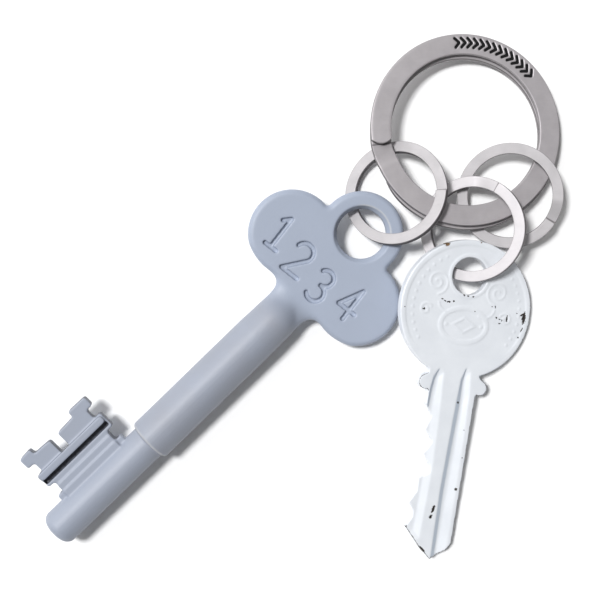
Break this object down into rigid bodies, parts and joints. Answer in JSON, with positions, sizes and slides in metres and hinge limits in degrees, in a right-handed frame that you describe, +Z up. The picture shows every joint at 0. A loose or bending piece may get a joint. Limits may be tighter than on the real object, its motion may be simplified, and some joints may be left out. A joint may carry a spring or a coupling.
{
  "type": "key organiser",
  "caption": "Key organiser of interlinked flat-strip split rings: a large press-to-open ring holding small rings, with a skeleton key and a flat key threaded on.",
  "frame": {"origin": "under the middle of the group, on the surface that it lies on", "axes": "+Z up from the table; +X to the right and +Y away, towards the large ring, as the group is seen from above with the keys nearest"},
  "size_m": [0.1006, 0.0984, 0.0097],
  "materials": {
    "large_ring_steel": "satin",
    "small_ring_steel": "satin",
    "grey_paint": "satin",
    "white_paint": "gloss"
  },
  "bodies": {
    "large_ring": {"large_ring_coil": "large_ring_steel"},
    "large_ring_end": {"large_ring_free_end": "large_ring_steel"},
    "left_ring": {"left_ring_coil": "small_ring_steel"},
    "left_ring_end": {"left_ring_free_end": "small_ring_steel"},
    "middle_ring": {"middle_ring_coil": "small_ring_steel"},
    "middle_ring_end": {"middle_ring_free_end": "small_ring_steel"},
    "right_ring": {"right_ring_coil": "small_ring_steel"},
    "right_ring_end": {"right_ring_free_end": "small_ring_steel"},
    "skeleton_key": {"skeleton_key": "grey_paint"},
    "flat_key": {"flat_key": "white_paint"}
  },
  "joints": [
    {"name": "large_ring_press_to_open", "type": "hinge", "parent": "large_ring", "child": "large_ring_end", "pos_m": [0.03234, 0.03119, 0.00495], "axis": [-0.1457, 0.9885, -0.0414], "range_deg": [0, 11], "stiffness_Nm_per_rad": 0.02},
    {"name": "left_ring_round_large_ring", "type": "hinge", "parent": "large_ring", "child": "left_ring", "pos_m": [0.03219, 0.03112, 0.00376], "axis": [0.1287, 0.0604, 0.9898], "range_deg": [-25, 0]},
    {"name": "middle_ring_round_large_ring", "type": "hinge", "parent": "large_ring", "child": "middle_ring", "pos_m": [0.03219, 0.03112, 0.00376], "axis": [0.1287, 0.0604, 0.9898], "range_deg": [-5, 0.6]},
    {"name": "right_ring_round_large_ring", "type": "hinge", "parent": "large_ring", "child": "right_ring", "pos_m": [0.03219, 0.03112, 0.00376], "axis": [0.1287, 0.0604, 0.9898], "range_deg": [0, 25]},
    {"name": "left_ring_open", "type": "hinge", "parent": "left_ring", "child": "left_ring_end", "pos_m": [0.01895, 0.01944, 0.00564], "axis": [0.1615, -0.9572, 0.2401], "range_deg": [0, 9], "stiffness_Nm_per_rad": 0.002},
    {"name": "middle_ring_open", "type": "hinge", "parent": "middle_ring", "child": "middle_ring_end", "pos_m": [0.03323, 0.01264, 0.00567], "axis": [0.8878, -0.309, 0.3409], "range_deg": [0, 9], "stiffness_Nm_per_rad": 0.002},
    {"name": "right_ring_open", "type": "hinge", "parent": "right_ring", "child": "right_ring_end", "pos_m": [0.04056, 0.01891, 0.00419], "axis": [-0.324, -0.9359, -0.138], "range_deg": [0, 9], "stiffness_Nm_per_rad": 0.002},
    {"name": "skeleton_key_swing", "type": "hinge", "parent": "left_ring", "child": "skeleton_key", "pos_m": [0.01283, 0.0118, 0.00421], "axis": [0.0961, -0.0961, 0.9907], "range_deg": [-25, 0]},
    {"name": "flat_key_swing", "type": "hinge", "parent": "middle_ring", "child": "flat_key", "pos_m": [0.03273, 0.00397, 0.00461], "axis": [0.2453, -0.0831, 0.9659], "range_deg": [-4, 1]}
  ]
}
